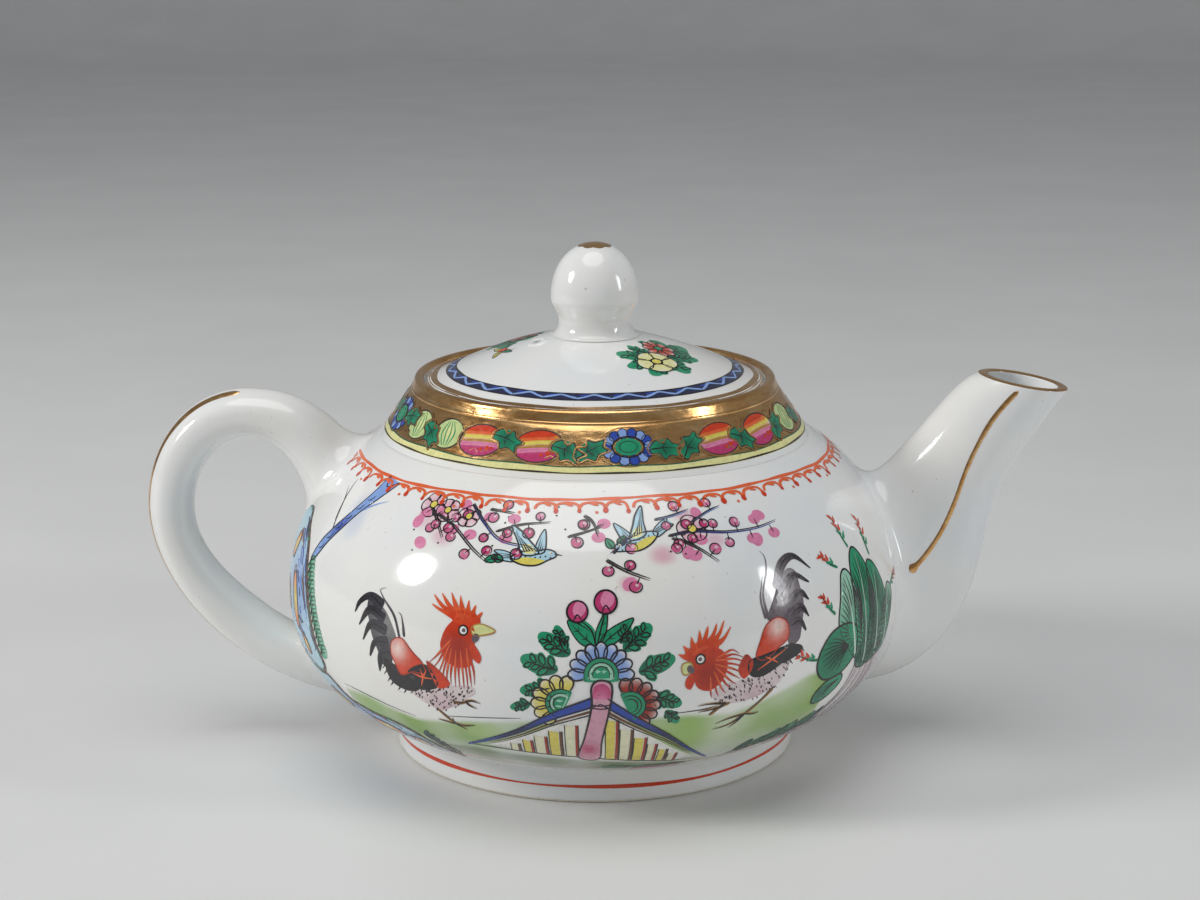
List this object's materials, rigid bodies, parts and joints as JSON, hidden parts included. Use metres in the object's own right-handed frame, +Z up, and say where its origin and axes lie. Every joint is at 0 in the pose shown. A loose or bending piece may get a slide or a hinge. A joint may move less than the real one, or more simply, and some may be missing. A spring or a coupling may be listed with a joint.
{
  "type": "teapot",
  "caption": "Small squat porcelain teapot with a gilded collar, curved spout, loop handle, foot ring and a lift-off domed lid with a bud knob.",
  "frame": {"origin": "centre of the foot ring's underside, on the pot's own axis", "axes": "+X towards the spout, -X towards the handle, +Z up, -Y the painted side that the picture shows"},
  "size_m": [0.1485, 0.0992, 0.0816],
  "materials": {
    "painted_porcelain": "clear gloss glaze over white porcelain, painted with coloured enamels",
    "white_porcelain": "clear gloss glaze over plain white porcelain, with a worn gold line",
    "foot_porcelain": "glazed sides with a red line, and a bare fired edge where it stands",
    "gilding": "burnished gold over glaze, rubbed thin in places, painted with fruit and leaves"
  },
  "bodies": {
    "pot": {"bowl": "painted_porcelain", "foot_ring": "foot_porcelain", "collar": "gilding", "spout": "white_porcelain", "handle": "white_porcelain"},
    "lid": {"lid": "painted_porcelain", "lid_flange": "white_porcelain", "knob": "white_porcelain"}
  },
  "joints": [
    {"name": "lid_lift", "type": "slide", "parent": "pot", "child": "lid", "axis": [0, 0, 1], "range_m": [0, 0.04]}
  ]
}
